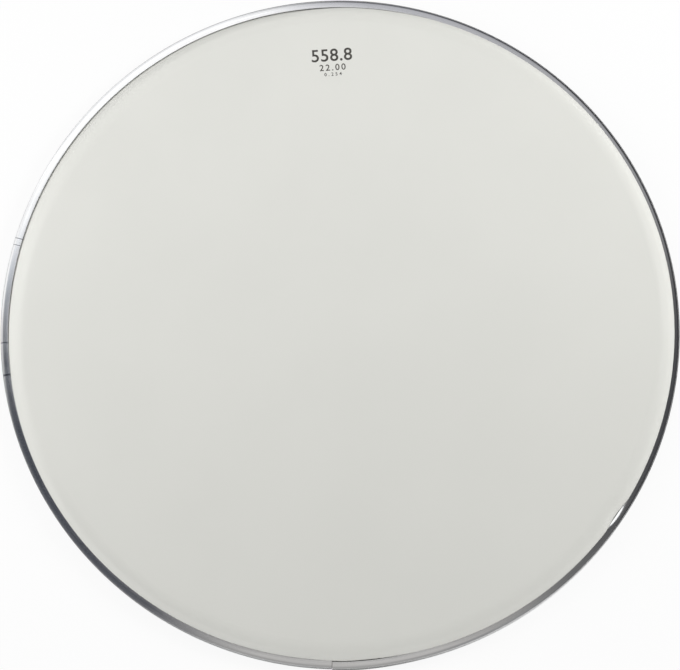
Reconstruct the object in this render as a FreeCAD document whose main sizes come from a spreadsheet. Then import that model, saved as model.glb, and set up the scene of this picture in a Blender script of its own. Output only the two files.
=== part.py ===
import FreeCAD, Part
import math
import os

import Sketcher

# A drum head: a plastic film whose perforated edge is cast in resin inside a rolled channel hoop.
# The head lies with its playing face up. Z is its axis and Z = 0 is the foot of the hoop.

# Driving sizes in millimetres and degrees: name, value, what it sets
SIZES = (
    ("shell_diameter", 558.8, "outside of the 22 inch drum shell that the head goes over"),
    ("shell_clearance", 1.0, "from the shell to the film's straight wall"),
    ("film_thickness", 0.254, "gauge of the film"),
    ("film_gap", 0.3, "between the film's straight wall and the channel's inner wall"),
    ("channel_wall", 1.1, "thickness of the rolled strip"),
    ("shoulder_bend", 0.8, "inside radius of the channel's outer top bend"),
    ("seat_width", 4.1, "flat top of the channel, where the counterhoop presses"),
    ("lip_bevel", 0.6, "bevel between the flat top and the channel's inner wall"),
    ("wall_lift", 2.0, "lower edge of the channel's inner wall above the foot"),
    ("seam_gap", 0.4, "between the two butted ends of the channel"),
    ("seam_angle", 268.7, "direction of the butt seam, from +X towards +Y"),
    ("resin_inset", 0.8, "surface of the resin above the inner wall's lower edge"),
    ("perforation_width", 8.0, "slots in the film's edge, along the hoop"),
    ("perforation_height", 3.2, "slots in the film's edge, along the hoop's axis"),
    ("perforation_margin", 1.0, "film left above and below the slots, inside the resin"),
    ("perforation_count", 24, "slots round the film's edge"),
    ("tuck_clearance", 0.9, "from the film's edge to the channel's roof"),
    ("splice_length", 45.0, "splice strip, along the curve of the hoop"),
    ("splice_thickness", 1.2, "splice strip, inwards from the channel's outer wall"),
    ("splice_clearance", 0.3, "above and below the splice strip"),
    ("collar_start", 1.2, "crease where the collar leans inwards, above the hoop"),
    ("collar_rise", 10.0, "playing face above the top of the hoop"),
    ("collar_reach", 8.4, "corner of the playing face, inwards from the film's straight wall"),
    ("collar_radius", 12.0, "round between the collar and the playing face"),
)


def size(name):
    """The expression for one driving size."""
    return f"Sizes.{name}"


THICKNESS = size("film_thickness")
GAP = size("film_gap")
WALL = size("channel_wall")

# The strip's outer bend, and the bevel in the channel's corner that keeps the bend's thickness
SHOULDER_RADIUS = f"({size('shoulder_bend')} + {WALL})"
CAVITY_BEVEL = f"({size('shoulder_bend')} * (2 - sqrt(2)))"

# Radii, from the shell outwards
FILM_INSIDE = f"({size('shell_diameter')} / 2 + {size('shell_clearance')})"
FILM_OUTSIDE = f"({FILM_INSIDE} + {THICKNESS})"
COLLAR_EDGE = f"({FILM_OUTSIDE} - {size('collar_reach')})"
HOOP_INSIDE = f"({FILM_OUTSIDE} + {GAP})"
WALL_MIDDLE = f"({HOOP_INSIDE} + {WALL} / 2)"
CAVITY_INSIDE = f"({HOOP_INSIDE} + {WALL})"
TUCK_OUTSIDE = f"({CAVITY_INSIDE} + {THICKNESS})"
HOOP_OUTSIDE = f"({HOOP_INSIDE} + {size('lip_bevel')} + {size('seat_width')} + {SHOULDER_RADIUS})"
CAVITY_OUTSIDE = f"({HOOP_OUTSIDE} - {WALL})"

# Heights, from the foot upwards
WALL_EDGE = size("wall_lift")
FOLD_BOTTOM = f"({WALL_EDGE} - {THICKNESS})"
RESIN_LEVEL = f"({WALL_EDGE} + {size('resin_inset')})"
SLOT_BOTTOM = f"({RESIN_LEVEL} + {size('perforation_margin')})"
SLOT_TOP = f"({SLOT_BOTTOM} + {size('perforation_height')})"
TUCK_EDGE = f"({SLOT_TOP} + {size('perforation_margin')})"
CAVITY_ROOF = f"({TUCK_EDGE} + {size('tuck_clearance')})"
HOOP_TOP = f"({CAVITY_ROOF} + {WALL})"
COLLAR_CREASE = f"({HOOP_TOP} + {size('collar_start')})"
PLAYING_FACE = f"({HOOP_TOP} + {size('collar_rise')})"

# The collar's lean from upright, and how far its two corners shift through the film's thickness
COLLAR_LEAN = f"atan({size('collar_reach')} / ({size('collar_rise')} - {size('collar_start')}))"
CREASE_SHIFT = f"{THICKNESS} * tan({COLLAR_LEAN} / 2)"
EDGE_SHIFT = f"{THICKNESS} * tan(45 deg - {COLLAR_LEAN} / 2)"

SEAM_DIRECTION = f"{size('seam_angle')} * 1 deg"

# Zero on the sketch's own axis
ON_AXIS = "0"


def make_sheet(doc):
    """Writes the driving sizes to a sheet, one aliased cell each."""
    sheet = doc.addObject("Spreadsheet::Sheet", "Sizes")
    for row, (name, value, note) in enumerate(SIZES, start=1):
        sheet.set(f"A{row}", name)
        sheet.set(f"B{row}", str(value))
        sheet.set(f"C{row}", note)
        sheet.setAlias(f"B{row}", name)
    doc.recompute()


def origin_feature(body, role):
    """One of the body's own origin planes or axes."""
    return next(feature for feature in body.Origin.OriginFeatures if feature.Role == role)


def make_sketch(body, name, plane):
    """An empty sketch on one of the body's own origin planes."""
    sketch = body.newObject("Sketcher::SketchObject", name)
    sketch.AttachmentSupport = [(origin_feature(body, plane), "")]
    sketch.MapMode = "FlatFace"
    return sketch


def bind(sketch, expression, kind, *elements):
    """Adds a dimension to a sketch and binds it to an expression."""
    value = float(sketch.evalExpression(expression))
    index = sketch.addConstraint(Sketcher.Constraint(kind, *elements, value))
    sketch.setExpression(f"Constraints[{index}]", expression)


def place(sketch, element, point, across, up):
    """Puts a point of the sketch at two distances from the sketch's axes."""
    for kind, distance, axis in (("DistanceX", across, -2), ("DistanceY", up, -1)):
        if distance == ON_AXIS:
            sketch.addConstraint(Sketcher.Constraint("PointOnObject", element, point, axis))
        else:
            bind(sketch, distance, kind, -1, 1, element, point)


def outline(sketch, corners):
    """Draws a closed outline round corners of (across, up) or (across, up, round radius)."""
    count = len(corners)
    points = []
    for across, up, *_ in corners:
        points.append(FreeCAD.Vector(
            float(sketch.evalExpression(across)), float(sketch.evalExpression(up)), 0))

    # each round touches the side before its corner and the side after it
    arrivals = list(points)
    departures = list(points)
    rounds = {}
    for i, (_, _, *radius) in enumerate(corners):
        if not radius:
            continue
        back = (points[i - 1] - points[i]).normalize()
        ahead = (points[(i + 1) % count] - points[i]).normalize()
        middle = (back + ahead).normalize()
        half_angle = back.getAngle(middle)
        length = float(sketch.evalExpression(radius[0]))
        arrivals[i] = points[i] + back * (length / math.tan(half_angle))
        departures[i] = points[i] + ahead * (length / math.tan(half_angle))
        crown = points[i] + middle * (length / math.sin(half_angle) - length)
        turns_left = ahead.cross(back).z > 0
        rounds[i] = Part.Arc(arrivals[i], crown, departures[i]), turns_left, radius[0]

    sides = []
    for i in range(count):
        side = Part.LineSegment(departures[i], arrivals[(i + 1) % count])
        sides.append(sketch.addGeometry(side))
    for i, (across, up, *_) in enumerate(corners):
        before, after = sides[i - 1], sides[i]
        if i not in rounds:
            sketch.addConstraint(Sketcher.Constraint("Coincident", before, 2, after, 1))
            place(sketch, after, 1, across, up)
            continue
        arc_shape, turns_left, radius = rounds[i]
        arc = sketch.addGeometry(arc_shape)
        # a sketch's arcs run anticlockwise
        first, last = (1, 2) if turns_left else (2, 1)
        sketch.addConstraint(Sketcher.Constraint("Tangent", before, 2, arc, first))
        sketch.addConstraint(Sketcher.Constraint("Tangent", arc, last, after, 1))
        bind(sketch, radius, "Radius", arc)
        corner = sketch.addGeometry(Part.Point(points[i]), True)
        sketch.addConstraint(Sketcher.Constraint("PointOnObject", corner, 1, before))
        sketch.addConstraint(Sketcher.Constraint("PointOnObject", corner, 1, after))
        place(sketch, corner, 1, across, up)


def make_turned(doc, label, corners, sweep="360 deg"):
    """A body turned about Z from its half section, anticlockwise from +X."""
    body = doc.addObject("PartDesign::Body", label)
    body.Label = label
    section = make_sketch(body, f"{label}_section", "XZ_Plane")
    outline(section, corners)
    turned = body.newObject("PartDesign::Revolution", f"{label}_turned")
    turned.Profile = (section, [""])
    turned.ReferenceAxis = (origin_feature(body, "Z_Axis"), [""])
    turned.setExpression("Angle", sweep)
    doc.recompute()
    return body


def make_hoop(doc):
    """The channel: a strip rolled to an upturned U, bent to a ring and butted at the seam."""
    corners = (
        (HOOP_OUTSIDE, ON_AXIS),
        (HOOP_OUTSIDE, HOOP_TOP, SHOULDER_RADIUS),
        (f"{HOOP_INSIDE} + {size('lip_bevel')}", HOOP_TOP),
        (HOOP_INSIDE, f"{HOOP_TOP} - {size('lip_bevel')}"),
        (HOOP_INSIDE, WALL_EDGE),
        (CAVITY_INSIDE, WALL_EDGE),
        (CAVITY_INSIDE, CAVITY_ROOF),
        (f"{CAVITY_OUTSIDE} - {CAVITY_BEVEL}", CAVITY_ROOF),
        (CAVITY_OUTSIDE, f"{CAVITY_ROOF} - {CAVITY_BEVEL}"),
        (CAVITY_OUTSIDE, ON_AXIS),
    )
    gap = f"{size('seam_gap')} / {HOOP_OUTSIDE} * 1 rad"
    hoop = make_turned(doc, "hoop_channel", corners, f"360 deg - {gap}")
    # the two ends stand either side of the seam's direction
    hoop.setExpression("Placement.Rotation.Angle", f"{SEAM_DIRECTION} + {gap} / 2")
    return hoop


def make_splice(doc):
    """The strip behind the butt seam, against the straight stretch of the channel's outer wall."""
    inside = f"{CAVITY_OUTSIDE} - {size('splice_thickness')}"
    bottom = f"{RESIN_LEVEL} + {size('splice_clearance')}"
    top = f"{CAVITY_ROOF} - {CAVITY_BEVEL} - {size('splice_clearance')}"
    corners = (
        (inside, bottom),
        (CAVITY_OUTSIDE, bottom),
        (CAVITY_OUTSIDE, top),
        (inside, top),
    )
    sweep = f"{size('splice_length')} / {CAVITY_OUTSIDE} * 1 rad"
    splice = make_turned(doc, "hoop_splice", corners, sweep)
    splice.setExpression("Placement.Rotation.Angle", f"{SEAM_DIRECTION} - {sweep} / 2")
    return splice


def make_film(doc):
    """The film: playing face, collar, straight wall, the fold under the channel's wall and the tuck."""
    corners = (
        (ON_AXIS, PLAYING_FACE),
        (COLLAR_EDGE, PLAYING_FACE, size("collar_radius")),
        (FILM_OUTSIDE, COLLAR_CREASE),
        (FILM_OUTSIDE, WALL_EDGE),
        (CAVITY_INSIDE, WALL_EDGE),
        (CAVITY_INSIDE, TUCK_EDGE),
        (TUCK_OUTSIDE, TUCK_EDGE),
        (TUCK_OUTSIDE, FOLD_BOTTOM),
        (FILM_INSIDE, FOLD_BOTTOM),
        (FILM_INSIDE, f"{COLLAR_CREASE} - {CREASE_SHIFT}"),
        (
            f"{COLLAR_EDGE} - {EDGE_SHIFT}",
            f"{PLAYING_FACE} - {THICKNESS}",
            f"{size('collar_radius')} - {THICKNESS}",
        ),
        (ON_AXIS, f"{PLAYING_FACE} - {THICKNESS}"),
    )
    film = make_turned(doc, "drumhead_film", corners)
    perforate(doc, film)
    return film


def perforate(doc, film):
    """Punches the ring of slots through the tuck, from inside the channel's wall outwards."""
    whole_volume = film.Shape.Volume
    width = size("perforation_width")
    slot = make_sketch(film, "perforation", "YZ_Plane")
    slot.setExpression("AttachmentOffset.Base.x", f"-{width} / 2")
    slot.setExpression("AttachmentOffset.Base.z", WALL_MIDDLE)
    outline(slot, (
        (ON_AXIS, SLOT_BOTTOM),
        (width, SLOT_BOTTOM),
        (width, SLOT_TOP),
        (ON_AXIS, SLOT_TOP),
    ))
    punch = film.newObject("PartDesign::Pocket", "perforation_punch")
    punch.Profile = (slot, [""])
    punch.Reversed = True
    punch.setExpression("Length", f"{TUCK_OUTSIDE} + {GAP} - {WALL_MIDDLE}")
    doc.recompute()
    ring = film.newObject("PartDesign::PolarPattern", "perforation_ring")
    ring.Originals = [punch]
    ring.Axis = (origin_feature(film, "Z_Axis"), [""])
    ring.setExpression("Occurrences", size("perforation_count"))
    film.Tip = ring
    doc.recompute()
    if film.Shape.Volume >= whole_volume:
        raise RuntimeError("the perforations cut nothing from the film")


def make_resin(doc, film, splice):
    """The casting: what is left of the channel's inside round the film's tuck and the splice."""
    corners = (
        (CAVITY_INSIDE, RESIN_LEVEL),
        (CAVITY_OUTSIDE, RESIN_LEVEL),
        (CAVITY_OUTSIDE, f"{CAVITY_ROOF} - {CAVITY_BEVEL}"),
        (f"{CAVITY_OUTSIDE} - {CAVITY_BEVEL}", CAVITY_ROOF),
        (CAVITY_INSIDE, CAVITY_ROOF),
    )
    filling = make_turned(doc, "channel_filling", corners)
    around_film = doc.addObject("Part::Cut", "filling_around_film")
    around_film.Base = filling
    around_film.Tool = film
    resin = doc.addObject("Part::Cut", "resin_ring")
    resin.Label = "resin_ring"
    resin.Base = around_film
    resin.Tool = splice
    doc.recompute()
    return resin


def check(doc, pieces):
    """Stops if an object failed or a piece isn't one sound solid."""
    for item in doc.Objects:
        if "Invalid" in item.State or "Error" in item.State:
            raise RuntimeError(f"{item.Label} failed: {item.State}")
    for piece in pieces:
        shape = piece.Shape
        if shape.isNull() or not shape.isValid() or len(shape.Solids) != 1:
            raise RuntimeError(f"{piece.Label} isn't one sound solid")


def main():
    """Builds the four pieces and writes each to its own file."""
    doc = FreeCAD.newDocument("drum_head")
    make_sheet(doc)
    hoop = make_hoop(doc)
    splice = make_splice(doc)
    film = make_film(doc)
    resin = make_resin(doc, film, splice)
    doc.recompute()
    pieces = (film, hoop, splice, resin)
    check(doc, pieces)
    os.makedirs("parts", exist_ok=True)
    for piece in pieces:
        piece.Shape.exportStep(f"parts/{piece.Label}.step")
        print(f"{piece.Label}: {piece.Shape.Volume:.1f} cubic mm")


main()
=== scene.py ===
"""A drum head: white film, rolled channel hoop, splice strip, cast resin and a printed size mark.

Sizes are in millimetres and directions in degrees from +X towards +Y, unless a docstring says otherwise.
"""
import logging
import math
from dataclasses import dataclass, field
from enum import Enum
from typing import Any, Optional, Sequence

import bmesh
import bpy
from mathutils import Matrix, Vector


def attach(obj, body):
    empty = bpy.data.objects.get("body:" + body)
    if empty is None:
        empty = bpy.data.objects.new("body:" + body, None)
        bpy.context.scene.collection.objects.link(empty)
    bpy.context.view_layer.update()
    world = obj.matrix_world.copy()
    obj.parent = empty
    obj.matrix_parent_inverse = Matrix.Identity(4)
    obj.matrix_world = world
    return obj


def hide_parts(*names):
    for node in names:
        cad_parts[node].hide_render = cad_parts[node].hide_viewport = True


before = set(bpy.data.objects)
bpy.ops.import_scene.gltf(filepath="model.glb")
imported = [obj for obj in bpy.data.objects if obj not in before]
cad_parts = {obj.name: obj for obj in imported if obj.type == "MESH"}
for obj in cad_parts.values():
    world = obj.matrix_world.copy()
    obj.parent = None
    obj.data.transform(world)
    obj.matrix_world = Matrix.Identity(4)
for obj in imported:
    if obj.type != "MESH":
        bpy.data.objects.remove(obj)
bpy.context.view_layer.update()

LOG = logging.getLogger("drum_head")
MM = 0.001
FULL_TURN = 360.0
HALF_TURN = 180.0
ARC_SEGMENTS = 8
SHARP_EDGE = 30.0
FINE_DETAIL = 3.0
# Points and heights that are nearer to each other than this, in metres, count as the same.
SAME_POINT = 1e-7
SAME_HEIGHT = 1e-6

Colour = tuple[float, float, float]
WHITE: Colour = (1.0, 1.0, 1.0)


class Node(str, Enum):
    """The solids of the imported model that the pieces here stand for."""

    FILM = "drumhead_film"
    HOOP = "hoop_channel"
    SPLICE = "hoop_splice"
    RESIN = "resin_ring"


class Slot(str, Enum):
    """The record's material slots."""

    FILM = "white_film"
    HOOP = "bright_aluminium"
    SPLICE = "mill_aluminium"
    RESIN = "cast_resin"


class Ray(str, Enum):
    """Kinds of ray by which the camera sees something."""

    DIRECT = "Is Camera Ray"
    MIRRORED = "Is Glossy Ray"
    CLEAR = "Is Transmission Ray"


@dataclass(frozen=True)
class HeadSizes:
    """The sizes that pieces share, and the places that follow from them."""

    face_height: float = 20.0
    film_gauge: float = 0.254
    film_clearance: float = 0.3
    fold_height: float = 2.0
    tuck_top: float = 8.0
    hoop_outside: float = 287.554
    hoop_width: float = 6.6
    hoop_height: float = 10.0
    hoop_wall: float = 1.1
    roof_bend_inside: float = 0.5
    roof_bend_outside: float = 0.8
    seam_direction: float = 268.7

    @property
    def hoop_inside(self) -> float:
        """Radius of the hoop's inner wall, on the film's side."""
        return self.hoop_outside - self.hoop_width

    @property
    def cavity_inside(self) -> float:
        """Radius of the channel's inner wall, which the film's tuck lies on."""
        return self.hoop_inside + self.hoop_wall

    @property
    def cavity_outside(self) -> float:
        """Radius of the channel's outer wall, which the splice lies on."""
        return self.hoop_outside - self.hoop_wall

    @property
    def roof(self) -> float:
        """Height of the channel's inside."""
        return self.hoop_height - self.hoop_wall

    @property
    def film_wall(self) -> float:
        """Radius of the film's straight wall, on the hoop's side."""
        return self.hoop_inside - self.film_clearance


HEAD = HeadSizes()


def outward(turn: float, distance: float) -> Vector:
    """A step away from the axis, in metres; the turn from +X is in radians."""
    return Vector((math.cos(turn), math.sin(turn), 0.0)) * distance * MM


def bearing(place: Vector) -> tuple[float, float]:
    """A point's turn from +X, in radians, and its distance from the axis."""
    return math.atan2(place.y, place.x), math.hypot(place.x, place.y) / MM


def spin_round(bm: bmesh.types.BMesh, geom: Sequence[Any], sweep: float, steps: int) -> None:
    """Spins a line about the Z axis; a full turn closes on itself.

    Args:
        bm: The mesh, which is changed.
        geom: The line's vertices and edges.
        sweep: Angle turned.
        steps: Facets round the sweep.
    """
    bmesh.ops.spin(
        bm, geom=geom, cent=(0, 0, 0), axis=(0, 0, 1), dvec=(0, 0, 0), angle=math.radians(sweep),
        steps=steps, use_merge=sweep >= FULL_TURN, use_duplicate=False)


@dataclass(frozen=True)
class Corner:
    """One corner of a half section: across from the axis, up, and its bend radius."""

    across: float
    up: float
    bend: float = 0.0

    def point(self) -> Vector:
        """The corner in the XZ plane, in metres."""
        return Vector((self.across, 0.0, self.up)) * MM


class Section:
    """A half section that is turned about the head's axis."""

    def __init__(self, corners: Sequence[Corner], closed: bool = True) -> None:
        """Keeps the corners in order.

        Args:
            corners: The section's corners, one after another.
            closed: Whether the last corner joins the first.
        """
        self.corners = list(corners)
        self.closed = closed

    def wire(self) -> bmesh.types.BMesh:
        """Draws the section's line and rounds its bends.

        Returns:
            A mesh of edges in the XZ plane.
        """
        bm = bmesh.new()
        points = [corner.point() for corner in self.corners]
        verts = [bm.verts.new(point) for point in points]
        for first, second in zip(verts, verts[1:]):
            bm.edges.new((first, second))
        if self.closed:
            bm.edges.new((verts[-1], verts[0]))
        for i, corner in enumerate(self.corners):
            if not corner.bend:
                continue
            back = points[i - 1] - points[i]
            ahead = points[(i + 1) % len(points)] - points[i]
            reach = corner.bend * MM / math.tan(back.angle(ahead) / 2)
            bmesh.ops.bevel(
                bm, geom=[verts[i]], offset=reach, offset_type="OFFSET", segments=ARC_SEGMENTS,
                profile=0.5, affect="VERTICES", material=-1)
        return bm

    def turn(self, steps: int, start: float = 0.0, sweep: float = FULL_TURN) -> bmesh.types.BMesh:
        """Spins the section into a closed shell.

        Args:
            steps: Facets round the sweep.
            start: Direction of the first end.
            sweep: Angle turned; a full turn closes on itself.

        Returns:
            The shell, with its faces outwards.
        """
        bm = self.wire()
        bmesh.ops.rotate(
            bm, verts=bm.verts[:], cent=(0, 0, 0), matrix=Matrix.Rotation(math.radians(start), 3, "Z"))
        spin_round(bm, bm.verts[:] + bm.edges[:], sweep, steps)
        bmesh.ops.remove_doubles(bm, verts=bm.verts[:], dist=SAME_POINT)
        if sweep < FULL_TURN:
            ends = [edge for edge in bm.edges if edge.is_boundary]
            bmesh.ops.edgeloop_fill(bm, edges=ends)
        bmesh.ops.recalc_face_normals(bm, faces=bm.faces[:])
        return bm


def link_mesh(name: str, bm: bmesh.types.BMesh, material: bpy.types.Material) -> bpy.types.Object:
    """Makes an object of a finished mesh.

    Args:
        name: The object's name.
        bm: Its mesh, which is used up.
        material: Its material.

    Returns:
        The new object, at the origin.
    """
    mesh = bpy.data.meshes.new(name)
    bm.to_mesh(mesh)
    bm.free()
    mesh.materials.append(material)
    item = bpy.data.objects.new(name, mesh)
    bpy.context.collection.objects.link(item)
    return item


def add_piece(
    name: str, bm: bmesh.types.BMesh, material: bpy.types.Material,
    node: Optional[Node] = None,
) -> bpy.types.Object:
    """Adds a piece of the head, smooth but for its sharp edges, and lets it ride on the head.

    Args:
        name: The piece's name.
        bm: Its mesh, which is used up.
        material: Its finish.
        node: The solid that it stands for.

    Returns:
        The new object.
    """
    piece = link_mesh(name, bm, material)
    piece.data.shade_smooth()
    piece.data.set_sharp_from_angle(angle=math.radians(SHARP_EDGE))
    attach(piece, "root")
    if node:
        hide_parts(node.value)
    LOG.info("%s: %d faces", name, len(piece.data.polygons))
    return piece


def add_stage(name: str, bm: bmesh.types.BMesh, material: bpy.types.Material) -> bpy.types.Object:
    """Adds something that isn't part of the head.

    Args:
        name: Its name.
        bm: Its mesh, which is used up.
        material: Its material.

    Returns:
        The new object.
    """
    item = link_mesh(name, bm, material)
    return item


def rgba(colour: Colour) -> tuple[float, float, float, float]:
    """A colour with full alpha."""
    return (*colour, 1.0)


class Graph:
    """Adds nodes to one node tree and links them."""

    # Numbers of the Mix node's two colour inputs and its colour output.
    mix_inputs: tuple[int, int] = (6, 7)
    mix_output: int = 2

    def __init__(self, tree: bpy.types.NodeTree) -> None:
        """Starts on an empty tree."""
        self.tree = tree
        tree.nodes.clear()

    def add(self, kind: str, inputs: Optional[dict[Any, Any]] = None, **settings: Any) -> bpy.types.Node:
        """Adds one node.

        Args:
            kind: The node's type.
            inputs: Socket name or number to a constant, or to the output that feeds it.
            **settings: The node's own properties.

        Returns:
            The node.
        """
        node = self.tree.nodes.new(kind)
        for name, value in settings.items():
            setattr(node, name, value)
        for key, value in (inputs or {}).items():
            if isinstance(value, bpy.types.NodeSocket):
                self.tree.links.new(value, node.inputs[key])
            else:
                node.inputs[key].default_value = value
        return node

    def place(self, group: bpy.types.NodeTree, inputs: dict[str, Any]) -> bpy.types.NodeSocket:
        """Places a shared effect and gives its first output.

        Args:
            group: The effect's node group.
            inputs: Socket name to constant or output.

        Returns:
            The output socket.
        """
        return self.add("ShaderNodeGroup", inputs, node_tree=group).outputs[0]

    def math(self, operation: str, *operands: Any) -> bpy.types.NodeSocket:
        """A Math node's result.

        Args:
            operation: The node's operation.
            *operands: Numbers or outputs.

        Returns:
            The output socket.
        """
        return self.add("ShaderNodeMath", dict(enumerate(operands)), operation=operation).outputs[0]

    def total(self, *terms: tuple[Any, Any]) -> bpy.types.NodeSocket:
        """A sum of products.

        Args:
            *terms: Pairs of numbers or outputs that are multiplied.

        Returns:
            The output socket.
        """
        products = [self.math("MULTIPLY", *term) for term in terms]
        result = products[0]
        for product in products[1:]:
            result = self.math("ADD", result, product)
        return result

    def parts(self, vector: Any) -> Sequence[bpy.types.NodeSocket]:
        """The X, Y and Z of a vector."""
        return self.add("ShaderNodeSeparateXYZ", {0: vector}).outputs

    def join(self, *values: Any) -> bpy.types.NodeSocket:
        """A vector from its X, Y and Z."""
        return self.add("ShaderNodeCombineXYZ", dict(enumerate(values))).outputs[0]

    def radius(self, x: Any, y: Any) -> bpy.types.NodeSocket:
        """A distance from the axis."""
        return self.math("SQRT", self.total((x, x), (y, y)))

    def blend(self, factor: Any, first: Any, second: Any) -> bpy.types.NodeSocket:
        """A colour between two others.

        Args:
            factor: 0 for the first, 1 for the second.
            first: A colour or output.
            second: A colour or output.

        Returns:
            The output socket.
        """
        inputs = {0: factor, **dict(zip(self.mix_inputs, (first, second)))}
        return self.add("ShaderNodeMix", inputs, data_type="RGBA").outputs[self.mix_output]

    def ease(
        self, value: Any, low: float, high: float, to_low: float = 0.0, to_high: float = 1.0,
    ) -> bpy.types.NodeSocket:
        """A smooth step from one value to another.

        Args:
            value: The output that is read.
            low: Where the step starts.
            high: Where it ends.
            to_low: Result at its start.
            to_high: Result at its end.

        Returns:
            The output socket.
        """
        inputs = dict(enumerate((value, low, high, to_low, to_high)))
        return self.add("ShaderNodeMapRange", inputs, interpolation_type="SMOOTHSTEP").outputs[0]

    def noise(self, vector: Any, scale: float = 1.0, detail: float = 2.0) -> bpy.types.NodeSocket:
        """A noise value between 0 and 1.

        Args:
            vector: Where it is read.
            scale: Its frequency.
            detail: Its octaves.

        Returns:
            The output socket.
        """
        return self.add(
            "ShaderNodeTexNoise", {"Vector": vector, "Scale": scale, "Detail": detail}).outputs["Fac"]

    def seen(self, *rays: Ray) -> bpy.types.NodeSocket:
        """A factor that is 1 for the kinds of ray named and 0 for others.

        Args:
            *rays: One kind of ray or more.

        Returns:
            The output socket.
        """
        path = self.add("ShaderNodeLightPath").outputs
        factor = path[rays[0].value]
        for ray in rays[1:]:
            factor = self.math("MAXIMUM", factor, path[ray.value])
        return factor

    def mix_shaders(self, factor: Any, first: bpy.types.Node, second: bpy.types.Node) -> bpy.types.Node:
        """A shader between two others.

        Args:
            factor: 0 for the first, 1 for the second.
            first: A shader.
            second: A shader.

        Returns:
            The mixed shader.
        """
        return self.add("ShaderNodeMixShader", {0: factor, 1: first.outputs[0], 2: second.outputs[0]})

    def end(self, shader: bpy.types.Node, output: str = "ShaderNodeOutputMaterial") -> None:
        """Ends the tree with its shader."""
        self.add(output, {"Surface": shader.outputs[0]})


class Effects:
    """Shader effects that the finishes share, each built once as a node group."""

    line_span: tuple[float, float] = (0.25, 0.75)
    cloud_span: tuple[float, float] = (0.3, 0.7)
    mark_span: tuple[float, float] = (0.3, 1.0)

    def __init__(self) -> None:
        """Builds the groups."""
        self.strip_lines = self._strip_lines()
        self.clouding = self._clouding()
        self.press_mark = self._press_mark()

    @staticmethod
    def _start(
        name: str, inputs: dict[str, float], output: str,
    ) -> tuple[Graph, dict[str, bpy.types.NodeSocket], bpy.types.Node]:
        """Starts a group that reads a position and some numbers.

        Args:
            name: The group's name.
            inputs: Number inputs and their defaults.
            output: Name of its one output.

        Returns:
            The graph, its input sockets by name and its output node.
        """
        tree = bpy.data.node_groups.new(name, "ShaderNodeTree")
        graph = Graph(tree)
        tree.interface.new_socket("Position", in_out="INPUT", socket_type="NodeSocketVector")
        for label, default in inputs.items():
            socket = tree.interface.new_socket(label, in_out="INPUT", socket_type="NodeSocketFloat")
            socket.default_value = default
        tree.interface.new_socket(output, in_out="OUTPUT", socket_type="NodeSocketFloat")
        source = graph.add("NodeGroupInput")
        sockets = {socket.name: socket for socket in source.outputs if socket.name}
        return graph, sockets, graph.add("NodeGroupOutput")

    def _strip_lines(self) -> bpy.types.NodeTree:
        """Fine lines that run round the hoop, as rolling leaves on a strip.

        Returns:
            The group: pitch in millimetres and streak length in metres to a value of 0 to 1.
        """
        graph, sockets, out = self._start("strip_lines", {"Pitch": 0.5, "Streak": 0.06}, "Lines")
        x, y, z = graph.parts(sockets["Position"])
        across = graph.math("MULTIPLY", graph.math("SUBTRACT", graph.radius(x, y), z), 1 / MM)
        laid = graph.join(
            graph.math("DIVIDE", across, sockets["Pitch"]),
            graph.math("DIVIDE", x, sockets["Streak"]),
            graph.math("DIVIDE", y, sockets["Streak"]))
        lines = graph.ease(graph.noise(laid, detail=FINE_DETAIL), *self.line_span)
        graph.tree.links.new(lines, out.inputs[0])
        return graph.tree

    def _clouding(self) -> bpy.types.NodeTree:
        """Soft uneven patches.

        Returns:
            The group: patch size in metres to a value of 0 to 1.
        """
        graph, sockets, out = self._start("clouding", {"Size": 0.05}, "Cloud")
        frequency = graph.math("DIVIDE", 1.0, sockets["Size"])
        scaled = graph.add(
            "ShaderNodeVectorMath", {0: sockets["Position"], "Scale": frequency}, operation="SCALE")
        cloud = graph.ease(graph.noise(scaled.outputs[0], detail=FINE_DETAIL), *self.cloud_span)
        graph.tree.links.new(cloud, out.inputs[0])
        return graph.tree

    def _press_mark(self) -> bpy.types.NodeTree:
        """A short mark straight across the hoop in one direction from the axis.

        Returns:
            The group: direction in degrees and width in millimetres to a mask.
        """
        graph, sockets, out = self._start("press_mark", {"Direction": 0.0, "Width": 1.0}, "Mask")
        x, y, _ = graph.parts(sockets["Position"])
        heading = graph.math("RADIANS", sockets["Direction"])
        along_x = graph.math("COSINE", heading)
        along_y = graph.math("SINE", heading)
        beside = graph.math(
            "SUBTRACT", graph.math("MULTIPLY", y, along_x), graph.math("MULTIPLY", x, along_y))
        ahead = graph.total((x, along_x), (y, along_y))
        offset = graph.math("MULTIPLY", graph.math("ABSOLUTE", beside), 2 / MM)
        near = graph.ease(graph.math("DIVIDE", offset, sockets["Width"]), *self.mark_span, 1.0, 0.0)
        mask = graph.math("MULTIPLY", near, graph.math("GREATER_THAN", ahead, 0.0))
        graph.tree.links.new(mask, out.inputs[0])
        return graph.tree


def start_material(name: str) -> tuple[bpy.types.Material, Graph, bpy.types.NodeSocket]:
    """Starts a node material that reads the piece's own coordinates.

    Args:
        name: The material's name.

    Returns:
        The material, its graph and the Object coordinates.
    """
    material = bpy.data.materials.new(name)
    material.use_nodes = True
    graph = Graph(material.node_tree)
    return material, graph, graph.add("ShaderNodeTexCoord").outputs["Object"]


@dataclass(frozen=True)
class Relief:
    """How a finish's fine relief shows: its strength, and its full height in metres."""

    strength: float
    depth: float

    def finish(self, graph: Graph, height: Any, inputs: dict[str, Any]) -> None:
        """Ends a material with its bump, its shader and its output.

        Args:
            graph: The material's graph.
            height: The output that the bump follows.
            inputs: Sockets of the Principled shader.
        """
        bump = graph.add(
            "ShaderNodeBump", {"Height": height, "Strength": self.strength, "Distance": self.depth})
        graph.end(graph.add("ShaderNodeBsdfPrincipled", {**inputs, "Normal": bump.outputs[0]}))


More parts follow.
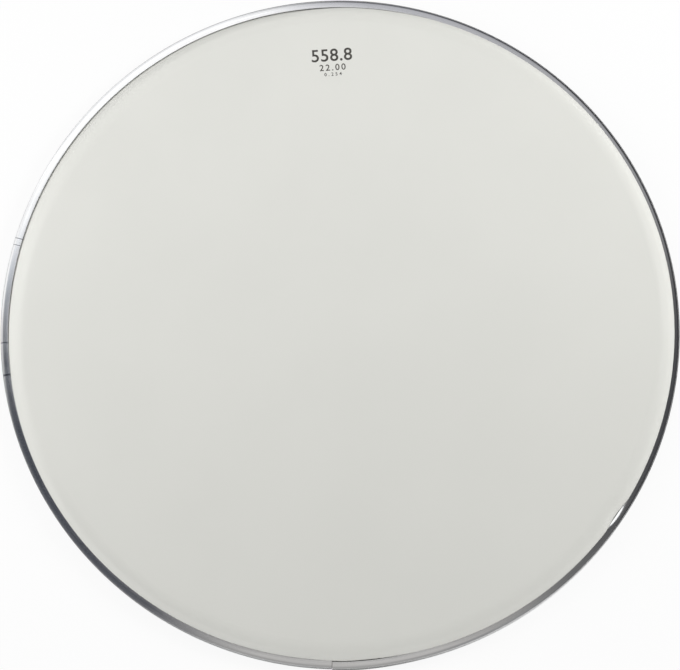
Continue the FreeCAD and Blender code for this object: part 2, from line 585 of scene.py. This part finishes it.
@dataclass(frozen=True)
class FilmFinish:
    """Smooth white polyester: a soft sheen, faint clouding and strain lines down the collar.

    Patch and smudge sizes are in metres, and strain lines are counted over one radius.
    """

    white: Colour = (0.73, 0.731, 0.69)
    shade: Colour = (0.71, 0.712, 0.671)
    shade_share: float = 0.6
    patch: float = 0.09
    smudge: float = 0.022
    roughness: float = 0.34
    smudge_roughness: float = 0.06
    refraction: float = 1.6
    collar_start: float = 269.0
    collar_fade: float = 5.0
    strain_lines: float = 190.0
    grain_scale: float = 900.0
    grain_share: float = 0.35
    relief: Relief = Relief(0.12, 0.00002)

    def material(self, effects: Effects) -> bpy.types.Material:
        """Builds the finish.

        Args:
            effects: The shared effects.

        Returns:
            The material.
        """
        material, graph, position = start_material("film_white")
        cloud = graph.place(effects.clouding, {"Position": position, "Size": self.patch})
        smudge = graph.place(effects.clouding, {"Position": position, "Size": self.smudge})
        shaded = graph.math("MULTIPLY", cloud, self.shade_share)
        smudged = graph.math("MULTIPLY", smudge, self.smudge_roughness)
        x, y, _ = graph.parts(position)
        radius = graph.math("MULTIPLY", graph.radius(x, y), 1 / MM)
        clear_of_axis = graph.math("MAXIMUM", radius, 1.0)
        turned = graph.join(*(graph.math("DIVIDE", part, clear_of_axis) for part in (x, y)))
        strain = graph.noise(turned, self.strain_lines / MM)
        on_collar = graph.ease(radius, self.collar_start, self.collar_start + self.collar_fade)
        grain = graph.noise(position, self.grain_scale, FINE_DETAIL)
        height = graph.total((grain, self.grain_share), (strain, on_collar))
        self.relief.finish(graph, height, {
            "Base Color": graph.blend(shaded, rgba(self.white), rgba(self.shade)),
            "Roughness": graph.math("ADD", self.roughness - self.smudge_roughness / 2, smudged),
            "IOR": self.refraction,
        })
        return material


@dataclass(frozen=True)
class RollingLines:
    """One set of rolling lines: pitch, streak length in metres, and share of the whole."""

    pitch: float
    streak: float
    share: float


@dataclass(frozen=True)
class PressMark:
    """A mark pressed across the hoop: its direction and its width."""

    direction: float
    width: float


@dataclass(frozen=True)
class AluminiumFinish:
    """Rolled aluminium strip, with its rolling lines and press marks. Its patch size is in metres."""

    name: str
    bright: Colour
    dull: Colour
    roughness: float
    marks: tuple[PressMark, ...] = ()
    mark_colour: Colour = (0.3, 0.31, 0.33)
    rolling: tuple[RollingLines, ...] = (RollingLines(0.35, 0.05, 0.55), RollingLines(1.3, 0.12, 0.45))
    dull_share: float = 0.7
    line_roughness: float = 0.06
    patch: float = 0.03
    patch_roughness: float = 0.03
    relief: Relief = Relief(0.07, 0.00003)

    def material(self, effects: Effects) -> bpy.types.Material:
        """Builds the finish.

        Args:
            effects: The shared effects.

        Returns:
            The material.
        """
        material, graph, position = start_material(self.name)
        sets = []
        for rolled in self.rolling:
            inputs = {"Position": position, "Pitch": rolled.pitch, "Streak": rolled.streak}
            sets.append((graph.place(effects.strip_lines, inputs), rolled.share))
        lines = graph.total(*sets)
        cloud = graph.place(effects.clouding, {"Position": position, "Size": self.patch})
        marked: Any = 0.0
        for mark in self.marks:
            inputs = {"Position": position, "Direction": mark.direction, "Width": mark.width}
            marked = graph.math("MAXIMUM", marked, graph.place(effects.press_mark, inputs))
        dulled = graph.math("MULTIPLY", lines, self.dull_share)
        colour = graph.blend(dulled, rgba(self.bright), rgba(self.dull))
        if self.marks:
            colour = graph.blend(marked, colour, rgba(self.mark_colour))
        uneven = graph.total((lines, self.line_roughness), (cloud, self.patch_roughness))
        self.relief.finish(graph, graph.math("SUBTRACT", lines, marked), {
            "Base Color": colour,
            "Metallic": 1.0,
            "Roughness": graph.math("ADD", self.roughness, uneven),
        })
        return material


@dataclass(frozen=True)
class ResinFinish:
    """Cast resin: cream, a little glossy, with flow clouding and small bubbles. Flow is in metres."""

    cream: Colour = (0.56, 0.49, 0.36)
    amber: Colour = (0.42, 0.34, 0.22)
    bubble: Colour = (0.68, 0.62, 0.5)
    flow: float = 0.016
    flow_height: float = 0.6
    bubble_scale: float = 420.0
    bubble_span: tuple[float, float] = (0.1, 0.28)
    bubble_share: float = 0.6
    roughness: float = 0.28
    flow_roughness: float = 0.12
    refraction: float = 1.52
    relief: Relief = Relief(0.5, 0.0002)

    def material(self, effects: Effects) -> bpy.types.Material:
        """Builds the finish.

        Args:
            effects: The shared effects.

        Returns:
            The material.
        """
        material, graph, position = start_material("resin_cast")
        flow = graph.place(effects.clouding, {"Position": position, "Size": self.flow})
        cells = graph.add("ShaderNodeTexVoronoi", {"Vector": position, "Scale": self.bubble_scale})
        bubbles = graph.ease(cells.outputs["Distance"], *self.bubble_span, 1.0, 0.0)
        streaked = graph.blend(flow, rgba(self.cream), rgba(self.amber))
        shown = graph.math("MULTIPLY", bubbles, self.bubble_share)
        uneven = graph.math("MULTIPLY", flow, self.flow_roughness)
        height = graph.math("SUBTRACT", graph.math("MULTIPLY", flow, self.flow_height), bubbles)
        self.relief.finish(graph, height, {
            "Base Color": graph.blend(shown, streaked, rgba(self.bubble)),
            "Roughness": graph.math("ADD", self.roughness, uneven),
            "IOR": self.refraction,
        })
        return material


@dataclass(frozen=True)
class InkFinish:
    """Dark grey printing ink, a little thin in places. Its patch size is in metres."""

    dark: Colour = (0.045, 0.042, 0.036)
    thin: Colour = (0.08, 0.075, 0.066)
    patch: float = 0.0025
    roughness: float = 0.45
    thin_roughness: float = 0.15
    relief: Relief = Relief(0.2, 0.00001)

    def material(self, effects: Effects) -> bpy.types.Material:
        """Builds the finish.

        Args:
            effects: The shared effects.

        Returns:
            The material.
        """
        material, graph, position = start_material("print_ink")
        thin = graph.place(effects.clouding, {"Position": position, "Size": self.patch})
        uneven = graph.math("MULTIPLY", thin, self.thin_roughness)
        self.relief.finish(graph, thin, {
            "Base Color": graph.blend(thin, rgba(self.dark), rgba(self.thin)),
            "Roughness": graph.math("ADD", self.roughness, uneven),
        })
        return material


@dataclass(frozen=True)
class Dip:
    """A short stretch where an edge is out of place: its heading, its half width and its depth."""

    heading: float
    reach: float
    depth: float

    def at(self, heading: float) -> float:
        """The depth at a heading."""
        away = abs((heading - self.heading + HALF_TURN) % FULL_TURN - HALF_TURN) / self.reach
        return self.depth * (0.5 + 0.5 * math.cos(math.pi * min(away, 1.0)))


@dataclass
class FilmSheet:
    """The film: playing face, collar, straight wall, the fold under the channel's wall and the tuck."""

    sizes: HeadSizes = HEAD
    face_rings: tuple[float, ...] = (90.0, 180.0, 240.0, 262.0)
    collar_edge: float = 272.254
    collar_bend: float = 15.0
    crease_height: float = 11.2
    crease_bend: float = 1.5
    fold_bend: float = 0.25
    fold_bend_under: float = 0.5
    lean_from: float = 8.4
    loose_from: float = 9.8
    lip_share: float = 0.64
    edge_shift: tuple[float, float] = (1.65, -0.9)
    edge_spread: float = 0.28
    edge_oval: float = 1.16
    oval_direction: float = 30.0
    lobes: int = 3
    lobe_depth: float = 0.38
    lobe_direction: float = 74.7
    puckers: tuple[Dip, ...] = (
        Dip(57.0, 22.0, 0.3),
        Dip(90.0, 12.0, -0.6),
        Dip(126.0, 24.0, 0.35),
        Dip(270.5, 6.0, -0.5),
        Dip(325.5, 3.9, 1.85),
    )
    steps: int = 540

    def corners(self) -> list[Corner]:
        """The half section, from the axis along the upper side and back along the lower side.

        Returns:
            Its corners.
        """
        thick, face, fold = self.sizes.film_gauge, self.sizes.face_height, self.sizes.fold_height
        wall, tuck, tuck_top = self.sizes.film_wall, self.sizes.cavity_inside, self.sizes.tuck_top
        slope = math.atan2(wall - self.collar_edge, face - self.crease_height)
        crease_under = self.crease_height - thick * math.tan(slope / 2)
        collar_under = self.collar_edge - thick * math.tan(math.pi / 4 - slope / 2)
        upper = [Corner(ring, face) for ring in (0.0, *self.face_rings)]
        upper += [
            Corner(self.collar_edge, face, self.collar_bend),
            Corner(wall, self.crease_height, self.crease_bend),
            Corner(wall, self.loose_from),
            Corner(wall, self.lean_from),
            Corner(wall, fold, self.fold_bend),
            Corner(tuck, fold, self.fold_bend),
            Corner(tuck, tuck_top),
        ]
        lower = [
            Corner(tuck + thick, tuck_top),
            Corner(tuck + thick, fold - thick, self.fold_bend_under),
            Corner(wall - thick, fold - thick, self.fold_bend_under),
            Corner(wall - thick, self.lean_from),
            Corner(wall - thick, self.loose_from),
            Corner(wall - thick, crease_under, self.crease_bend - thick),
            Corner(collar_under, face - thick, self.collar_bend - thick),
        ]
        lower += [Corner(ring, face - thick) for ring in (*reversed(self.face_rings), 0.0)]
        return upper + lower

    def build(self, material: bpy.types.Material) -> bpy.types.Object:
        """Turns the film and lets the part above the hoop sit a little unevenly.

        Args:
            material: Its finish.

        Returns:
            The piece.
        """
        bm = Section(self.corners(), closed=False).turn(self.steps)
        matrix = self.settled()
        for vert in bm.verts:
            above = vert.co.z - self.loose_from * MM
            if above < -SAME_HEIGHT:
                continue
            place = self.lobed(matrix @ vert.co)
            if above > SAME_HEIGHT:
                vert.co = place
            elif place.length < vert.co.length:
                vert.co = vert.co.lerp(place, self.lip_share)
        return add_piece("film_sheet", bm, material, Node.FILM)

    def lobed(self, place: Vector) -> Vector:
        """Where a point of the loose film lies once its edge is lobed, and drawn in at the puckers.

        Args:
            place: The point before, in metres.

        Returns:
            The point after, in metres.
        """
        turn, radius = bearing(place)
        heading = math.degrees(turn)
        wall, flat = self.sizes.film_wall, self.face_rings[-1]
        lobe = self.lobe_depth * math.cos(math.radians(self.lobes * (heading - self.lobe_direction)))
        near_edge = min(max((radius - flat) / (wall - flat), 0.0), 1.0)
        drawn_in = sum(pucker.at(heading) for pucker in self.puckers)
        return place + outward(turn, lobe * radius / wall - drawn_in * near_edge)

    def settled(self) -> Matrix:
        """How the film above the hoop lies: shifted, a little spread and a little oval.

        Returns:
            The matrix from the true round to the film as it lies.
        """
        turn = Matrix.Rotation(math.radians(self.oval_direction), 4, "Z")
        along = 1.0 + (self.edge_spread + self.edge_oval) / self.sizes.film_wall
        across = 1.0 + (self.edge_spread - self.edge_oval) / self.sizes.film_wall
        stretch = turn @ Matrix.Diagonal((along, across, 1.0, 1.0)) @ turn.inverted()
        return Matrix.Translation(Vector((*self.edge_shift, 0.0)) * MM) @ stretch


@dataclass
class ChannelHoop:
    """The hoop: a strip rolled to a channel, bent to a ring and butted at its seam."""

    sizes: HeadSizes = HEAD
    shoulder: float = 2.4
    lip: float = 0.3
    edge_bend: float = 0.3
    lip_lean: Dip = Dip(140.0, 70.0, 0.47)
    lean_foot: float = 9.2
    dent: Dip = Dip(325.5, 3.8, 0.45)
    dent_edge: float = 282.9
    seam_gap: float = 0.4
    end_step: float = 1.0
    end_reach: float = 16.0
    steps: int = 480

    def section(self) -> Section:
        """The channel's section, from the foot of its outer side over the top and through its inside.

        Returns:
            The section.
        """
        outside, inside = self.sizes.hoop_outside, self.sizes.hoop_inside
        cavity_out, cavity_in = self.sizes.cavity_outside, self.sizes.cavity_inside
        top, roof, wall_foot = self.sizes.hoop_height, self.sizes.roof, self.sizes.fold_height
        return Section([
            Corner(outside, 0.0, self.edge_bend),
            Corner(outside, top, self.shoulder),
            Corner(self.dent_edge, top),
            Corner(inside, top, self.lip),
            Corner(inside, self.lean_foot),
            Corner(inside, wall_foot, self.edge_bend),
            Corner(cavity_in, wall_foot, self.edge_bend),
            Corner(cavity_in, roof, self.sizes.roof_bend_inside),
            Corner(cavity_out, roof, self.sizes.roof_bend_outside),
            Corner(cavity_out, 0.0, self.edge_bend),
        ])

    def build(self, material: bpy.types.Material) -> bpy.types.Object:
        """Turns the channel from one side of its seam to the other.

        Args:
            material: Its finish.

        Returns:
            The piece.
        """
        gap = math.degrees(self.seam_gap / self.sizes.hoop_outside)
        bm = self.section().turn(self.steps, self.sizes.seam_direction + gap / 2, FULL_TURN - gap)
        self.press_lip(bm)
        self.spring_end(bm)
        return add_piece("hoop_channel_rolled", bm, material, Node.HOOP)

    def press_lip(self, bm: bmesh.types.BMesh) -> None:
        """Dents the lip downwards at one place and leans it inwards along one side.

        Args:
            bm: The turned channel, which is changed.
        """
        lip_foot = (self.sizes.hoop_height - self.lip) * MM - SAME_HEIGHT
        for vert in bm.verts:
            turn, radius = bearing(vert.co)
            if vert.co.z < lip_foot or radius > self.dent_edge:
                continue
            heading = math.degrees(turn)
            share = (self.dent_edge - radius) / (self.dent_edge - self.sizes.hoop_inside)
            vert.co.z -= self.dent.at(heading) * share * MM
            vert.co -= outward(turn, self.lip_lean.at(heading) * share)

    def spring_end(self, bm: bmesh.types.BMesh) -> None:
        """Lets the end past the seam stand out, as a bent strip's end does; the film holds its inner wall.

        Args:
            bm: The turned channel, which is changed.
        """
        middle = (self.sizes.hoop_inside + self.sizes.hoop_outside) / 2
        free_foot = self.lean_foot * MM - SAME_HEIGHT
        for vert in bm.verts:
            turn, radius = bearing(vert.co)
            past = (math.degrees(turn) - self.sizes.seam_direction) % FULL_TURN / self.end_reach
            if past < 1.0 and (vert.co.z > free_foot or radius > middle):
                vert.co += outward(turn, self.end_step * (1.0 - past * past) ** 2)


@dataclass
class SpliceStrip:
    """The strip behind the hoop's seam."""

    sizes: HeadSizes = HEAD
    thickness: float = 1.2
    bottom: float = 3.1
    top: float = 8.131
    length: float = 45.0
    edge_bend: float = 0.25
    steps: int = 24

    def build(self, material: bpy.types.Material) -> bpy.types.Object:
        """Turns the strip about the middle of the seam.

        Args:
            material: Its finish.

        Returns:
            The piece.
        """
        outside = self.sizes.cavity_outside
        inside = outside - self.thickness
        section = Section([
            Corner(inside, self.bottom, self.edge_bend),
            Corner(outside, self.bottom, self.edge_bend),
            Corner(outside, self.top, self.edge_bend),
            Corner(inside, self.top, self.edge_bend),
        ])
        sweep = math.degrees(self.length / outside)
        bm = section.turn(self.steps, self.sizes.seam_direction - sweep / 2, sweep)
        return add_piece("splice_strip", bm, material, Node.SPLICE)


@dataclass
class ResinCasting:
    """The resin in the channel, with a surface that creeps up the walls that it wets."""

    sizes: HeadSizes = HEAD
    level: float = 2.8
    creep: float = 0.4
    creep_share: float = 0.16
    creep_bend: float = 1.2
    skin: float = 0.02
    steps: int = 360

    def build(self, material: bpy.types.Material) -> bpy.types.Object:
        """Turns the casting, a skin's thickness clear of the walls.

        Args:
            material: Its finish.

        Returns:
            The piece.
        """
        tuck = self.sizes.cavity_inside + self.sizes.film_gauge + self.skin
        wall = self.sizes.cavity_outside - self.skin
        neck = self.sizes.cavity_inside + self.skin
        neck_foot = self.sizes.tuck_top + self.skin
        roof = self.sizes.roof - self.skin
        creep_width = self.creep_share * (wall - tuck)
        section = Section([
            Corner(tuck, self.level - self.creep),
            Corner(tuck + creep_width, self.level, self.creep_bend),
            Corner(wall - creep_width, self.level, self.creep_bend),
            Corner(wall, self.level - self.creep),
            Corner(wall, roof, self.sizes.roof_bend_outside),
            Corner(neck, roof, self.sizes.roof_bend_inside),
            Corner(neck, neck_foot),
            Corner(tuck, neck_foot),
        ])
        return add_piece("resin_casting", section.turn(self.steps), material, Node.RESIN)


@dataclass(frozen=True)
class FigureRow:
    """One printed row: its figures, their height, how far up the mark they stand, and their spacing."""

    figures: str
    height: float
    above: float
    spacing: float
    weight: float = 0.012

    def mesh(self) -> bpy.types.Mesh:
        """Sets the row in the built-in face.

        Returns:
            A flat mesh round the row's middle, in metres.
        """
        letters = bpy.data.curves.new("size_figures", "FONT")
        letters.body = self.figures
        letters.space_character = self.spacing
        letters.offset = self.weight
        letters.resolution_u = ARC_SEGMENTS
        setter = bpy.data.objects.new("size_figures", letters)
        bpy.context.collection.objects.link(setter)
        bpy.context.view_layer.update()
        evaluated = setter.evaluated_get(bpy.context.evaluated_depsgraph_get())
        flat = bpy.data.meshes.new_from_object(evaluated)
        bpy.data.objects.remove(setter)
        spots = [vert.co for vert in flat.vertices]
        low = Vector((min(spot.x for spot in spots), min(spot.y for spot in spots), 0.0))
        high = Vector((max(spot.x for spot in spots), max(spot.y for spot in spots), 0.0))
        scale = self.height * MM / (high.y - low.y)
        flat.transform(
            Matrix.Translation((0.0, self.above * MM, 0.0)) @ Matrix.Scale(scale, 4)
            @ Matrix.Translation(-(low + high) / 2))
        return flat


@dataclass
class SizeMark:
    """The sizes printed on the playing face, in plain figures: millimetres, inches and the film's gauge."""

    sizes: HeadSizes = HEAD
    rows: tuple[FigureRow, ...] = (
        FigureRow("558.8", 11.0, 4.5, 1.06),
        FigureRow("22.00", 5.6, -6.4, 1.35),
        FigureRow("0.254", 3.0, -12.4, 1.7),
    )
    place: tuple[float, float] = (-6.5, 231.5)
    turn: float = 4.0
    ink: float = 0.02
    clearance: float = 0.002

    def build(self, material: bpy.types.Material) -> bpy.types.Object:
        """Sets the rows, gives the ink its thickness and lays it on the film.

        Args:
            material: Its finish.

        Returns:
            The piece.
        """
        bm = bmesh.new()
        for row in self.rows:
            flat = row.mesh()
            bm.from_mesh(flat)
            bpy.data.meshes.remove(flat)
        bmesh.ops.remove_doubles(bm, verts=bm.verts[:], dist=SAME_POINT)
        raised = bmesh.ops.extrude_face_region(bm, geom=bm.faces[:])
        bmesh.ops.translate(
            bm, vec=(0, 0, self.ink * MM),
            verts=[item for item in raised["geom"] if isinstance(item, bmesh.types.BMVert)])
        bmesh.ops.recalc_face_normals(bm, faces=bm.faces[:])
        laid = Matrix.Translation(Vector((*self.place, self.sizes.face_height + self.clearance)) * MM)
        bmesh.ops.transform(
            bm, matrix=laid @ Matrix.Rotation(math.radians(self.turn), 4, "Z"), verts=bm.verts[:])
        return add_piece("size_mark", bm, material)


@dataclass(frozen=True)
class Panel:
    """One stretch of the studio's walls or card: where it starts and ends, and its colour."""

    start: float
    end: float
    colour: Colour


@dataclass(frozen=True)
class Lamp:
    """A soft rectangular lamp, in metres and watts, that is aimed at the head's middle."""

    name: str
    distance: float
    heading: float
    rise: float
    wide: float
    tall: float
    watts: float

    def build(self) -> None:
        """Adds the lamp; shiny surfaces mirror the studio's walls instead of it."""
        lamp = bpy.data.lights.new(self.name, "AREA")
        lamp.shape = "RECTANGLE"
        lamp.size = self.wide
        lamp.size_y = self.tall
        lamp.energy = self.watts
        holder = bpy.data.objects.new(self.name, lamp)
        bpy.context.collection.objects.link(holder)
        turn, rise = math.radians(self.heading), math.radians(self.rise)
        place = self.distance * Vector((
            math.cos(rise) * math.cos(turn), math.cos(rise) * math.sin(turn), math.sin(rise)))
        holder.location = place
        holder.rotation_euler = (-place).to_track_quat("-Z", "Y").to_euler()
        holder.visible_glossy = False
        holder.visible_camera = False


def crown_panels() -> tuple[Panel, ...]:
    """The walls overhead, which the hoop's flat top mirrors.

    Returns:
        The panels in order of heading.
    """
    return (
        Panel(0.0, 6.0, (0.06, 0.06, 0.062)),
        Panel(22.0, 34.0, (0.27, 0.27, 0.278)),
        Panel(44.0, 58.0, (0.35, 0.35, 0.365)),
        Panel(72.0, 84.0, (0.4, 0.4, 0.425)),
        Panel(92.0, 97.0, (0.4, 0.4, 0.43)),
        Panel(101.0, 163.0, WHITE),
        Panel(166.0, 170.0, (0.46, 0.49, 0.54)),
        Panel(178.0, 238.0, (0.045, 0.048, 0.06)),
        Panel(251.0, 290.0, (0.43, 0.42, 0.41)),
        Panel(312.0, 322.0, (0.09, 0.09, 0.092)),
        Panel(334.0, 352.0, (0.05, 0.05, 0.055)),
        Panel(359.0, 360.0, (0.06, 0.06, 0.062)),
    )


def side_panels() -> tuple[Panel, ...]:
    """The walls lower down, which the hoop's bends mirror.

    Returns:
        The panels in order of heading.
    """
    return (
        Panel(0.0, 46.0, (0.04, 0.04, 0.042)),
        Panel(62.0, 70.0, (0.07, 0.07, 0.077)),
        Panel(84.0, 90.0, (0.13, 0.13, 0.14)),
        Panel(108.0, 142.0, (0.75, 0.75, 0.76)),
        Panel(143.0, 149.0, WHITE),
        Panel(150.0, 170.0, (0.8, 0.8, 0.8)),
        Panel(189.0, 232.0, (0.085, 0.088, 0.1)),
        Panel(250.0, 282.0, (0.3, 0.295, 0.29)),
        Panel(294.0, 304.0, (0.24, 0.24, 0.24)),
        Panel(314.0, 320.0, (0.12, 0.12, 0.12)),
        Panel(332.0, 360.0, (0.045, 0.045, 0.047)),
    )


def card_panels() -> tuple[Panel, ...]:
    """The card on the floor round the hoop, seen only in the hoop's reflections: dark, as pale as the
    floor, or grey near the seam, where the grey is painted shade standing in for the shadow under the
    hoop's foot.

    Returns:
        The panels in order of heading.
    """
    dark, pale = (0.1, 0.1, 0.106), (0.87, 0.87, 0.87)
    return (
        Panel(0.0, 98.0, dark),
        Panel(136.0, 167.0, pale),
        Panel(192.0, 230.0, dark),
        # Grey near the seam: painted shade, which the hoop's outer side mirrors in place of the shadow
        # under its foot.
        Panel(252.0, 262.0, (0.6, 0.6, 0.6)),
        Panel(270.0, 276.0, (0.35, 0.35, 0.35)),
        Panel(292.0, 304.0, pale),
        Panel(336.0, 360.0, dark),
    )


def studio_lamps() -> tuple[Lamp, ...]:
    """A lamp to either side, a wide one over the far edge, and low ones on the near and far sides.

    Returns:
        The lamps.
    """
    return (
        Lamp("right_lamp", 1.7, 18.0, 32.5, 0.8, 0.6, 17.6),
        Lamp("left_lamp", 1.2, 174.5, 25.0, 0.8, 0.6, 7.35),
        Lamp("near_lamp", 1.5, 268.0, 10.0, 1.4, 0.4, 8.3),
        Lamp("far_lamp", 0.6, 90.0, 55.0, 1.6, 0.5, 1.61),
        Lamp("back_lamp", 1.5, 92.0, 10.0, 1.4, 0.4, 0.8),
    )


@dataclass
class Studio:
    """Floor, walls, light and camera.

    The camera's aim, its sensor and the drops below the head are in millimetres, other lengths in metres.
    """

    distance: float = 3.0
    azimuth: float = 3.2
    elevation: float = 79.6
    aim: tuple[float, float, float] = (0.12, -4.65, 4.2)
    frame_width: float = 0.5763
    sensor_width: float = 36.0
    view_limit: float = 100.0
    dome: float = 0.23
    lamps: tuple[Lamp, ...] = field(default_factory=studio_lamps)
    floor_reach: float = 6.0
    floor_drop: float = 0.2
    floor_tones: tuple[Colour, Colour] = ((0.86, 0.86, 0.86), (0.88, 0.88, 0.88))
    floor_grain: float = 60.0
    floor_glow: float = 0.9
    card: tuple[Panel, ...] = field(default_factory=card_panels)
    card_reach: tuple[float, float] = (0.29, 0.34)
    card_drop: float = 0.1
    card_steps: int = 180
    crown: tuple[Panel, ...] = field(default_factory=crown_panels)
    sides: tuple[Panel, ...] = field(default_factory=side_panels)
    crown_slopes: tuple[float, float] = (22.0, 9.0)
    panel_level: float = 1.35
    wall_radius: float = 5.0
    wall_segments: tuple[int, int] = (96, 48)

    def build(self) -> None:
        """Sets up the whole studio."""
        self.floor()
        self.floor_card()
        self.tent()
        self.sky()
        for lamp in self.lamps:
            lamp.build()
        self.camera()
        bpy.context.scene.view_settings.view_transform = "Standard"

    def floor(self) -> None:
        """A white floor that keeps the head's shadow."""
        material, graph, position = start_material("studio_floor")
        paper = graph.noise(position, self.floor_grain)
        tone = graph.blend(paper, *(rgba(colour) for colour in self.floor_tones))
        lit = graph.add("ShaderNodeBsdfDiffuse", {"Color": tone})
        white = graph.add("ShaderNodeEmission", {"Color": rgba(WHITE), "Strength": 1.0})
        share = graph.math("MULTIPLY", graph.seen(Ray.DIRECT, Ray.CLEAR), self.floor_glow)
        graph.end(graph.mix_shaders(share, lit, white))
        bm = bmesh.new()
        bmesh.ops.create_grid(bm, x_segments=1, y_segments=1, size=self.floor_reach)
        bmesh.ops.translate(bm, vec=(0, 0, -self.floor_drop * MM), verts=bm.verts[:])
        add_stage("studio_floor", bm, material)

    def floor_card(self) -> None:
        """A card on the floor round the hoop, which only the hoop's outer side mirrors."""
        material, graph, position = start_material("studio_card")
        tone = self._ring(graph, self._heading(graph, position), self.card)
        graph.end(graph.add("ShaderNodeBsdfDiffuse", {"Color": tone}))
        bm = bmesh.new()
        ends = [bm.verts.new((radius, 0.0, -self.card_drop * MM)) for radius in self.card_reach]
        edge = bm.edges.new(ends)
        spin_round(bm, [*ends, edge], FULL_TURN, self.card_steps)
        self._mirrored_only(add_stage("studio_card", bm, material))

    def tent(self) -> None:
        """Studio walls that only shiny surfaces mirror, centred on where the hoop's top looks."""
        material, graph, position = start_material("studio_walls")
        heading = self._heading(graph, position)
        height = graph.parts(position)[2]
        crown_heights = [self.wall_radius * math.cos(math.radians(slope)) for slope in self.crown_slopes]
        overhead = graph.ease(height, *crown_heights)
        tone = graph.blend(
            overhead, self._ring(graph, heading, self.sides), self._ring(graph, heading, self.crown))
        graph.end(graph.add("ShaderNodeEmission", {"Color": tone, "Strength": self.panel_level}))
        around, upwards = self.wall_segments
        bm = bmesh.new()
        bmesh.ops.create_uvsphere(bm, u_segments=around, v_segments=upwards, radius=self.wall_radius)
        walls = add_stage("studio_walls", bm, material)
        mirrored = self.backward() * Vector((-1.0, -1.0, 1.0))
        walls.rotation_euler = Vector((0.0, 0.0, 1.0)).rotation_difference(mirrored).to_euler()
        self._mirrored_only(walls)

    @staticmethod
    def _mirrored_only(item: bpy.types.Object) -> None:
        """Lets only shiny surfaces see something."""
        item.visible_camera = False
        item.visible_diffuse = False
        item.visible_transmission = False
        item.visible_shadow = False

    @staticmethod
    def _heading(graph: Graph, position: bpy.types.NodeSocket) -> bpy.types.NodeSocket:
        """The turn from +X towards +Y, 0 to 1.

        Args:
            graph: The graph it goes in.
            position: Where it is read.

        Returns:
            The output socket.
        """
        x, y, _ = graph.parts(position)
        return graph.math("FRACT", graph.math("DIVIDE", graph.math("ARCTAN2", y, x), math.tau))

    @staticmethod
    def _ring(
        graph: Graph, heading: bpy.types.NodeSocket, panels: Sequence[Panel],
    ) -> bpy.types.NodeSocket:
        """Colours by heading.

        Args:
            graph: The graph it goes in.
            heading: The turn from +X, 0 to 1.
            panels: The panels in order of heading.

        Returns:
            The output socket.
        """
        ramp = graph.add("ShaderNodeValToRGB", {0: heading})
        stops = [
            (edge / FULL_TURN, rgba(panel.colour))
            for panel in panels
            for edge in (panel.start, panel.end)
        ]
        elements = ramp.color_ramp.elements
        elements.remove(elements[1])
        elements[0].position, elements[0].color = stops[0]
        for place, colour in stops[1:]:
            elements.new(place).color = colour
        return ramp.outputs[0]

    def sky(self) -> None:
        """Even light from all round, and white where the camera sees past the floor."""
        world = bpy.data.worlds.new("studio_sky")
        world.use_nodes = True
        bpy.context.scene.world = world
        graph = Graph(world.node_tree)
        soft = graph.add("ShaderNodeBackground", {"Color": rgba(WHITE), "Strength": self.dome})
        white = graph.add("ShaderNodeBackground", {"Color": rgba(WHITE), "Strength": 1.0})
        seen = graph.seen(Ray.DIRECT, Ray.MIRRORED, Ray.CLEAR)
        graph.end(graph.mix_shaders(seen, soft, white), "ShaderNodeOutputWorld")

    def backward(self) -> Vector:
        """The direction from the head to the camera; its azimuth counts from -Y towards +X."""
        turn, rise = math.radians(self.azimuth), math.radians(self.elevation)
        return Vector((math.sin(turn) * math.cos(rise), -math.cos(turn) * math.cos(rise), math.sin(rise)))

    def camera(self) -> None:
        """A camera above the head, a little to the near side, with +Y up in the picture."""
        back = self.backward()
        right = Vector((0.0, 1.0, 0.0)).cross(back).normalized()
        lens = bpy.data.cameras.new("studio_camera")
        lens.sensor_fit = "HORIZONTAL"
        lens.sensor_width = self.sensor_width
        lens.lens = self.sensor_width * self.distance / self.frame_width
        lens.clip_end = self.view_limit
        eye = bpy.data.objects.new("studio_camera", lens)
        bpy.context.collection.objects.link(eye)
        spot = Vector(self.aim) * MM + back * self.distance
        axes = Matrix((right, back.cross(right), back)).transposed().to_4x4()
        eye.matrix_world = Matrix.Translation(spot) @ axes
        bpy.context.scene.camera = eye


def main() -> None:
    """Builds the head's pieces and the studio in order."""
    logging.basicConfig(level=logging.INFO, format="%(message)s")
    effects = Effects()
    rolled = AluminiumFinish(
        name="hoop_rolled", bright=(0.86, 0.865, 0.87), dull=(0.74, 0.745, 0.75), roughness=0.07,
        marks=(PressMark(164.0, 1.1), PressMark(165.2, 0.9), PressMark(182.4, 1.2), PressMark(188.0, 2.4)))
    mill = AluminiumFinish(
        name="splice_mill", bright=(0.72, 0.725, 0.73), dull=(0.6, 0.605, 0.61), roughness=0.28)
    FilmSheet().build(FilmFinish().material(effects))
    ChannelHoop().build(rolled.material(effects))
    SpliceStrip().build(mill.material(effects))
    ResinCasting().build(ResinFinish().material(effects))
    SizeMark().build(InkFinish().material(effects))
    Studio().build()


if __name__ == "__main__":
    main()
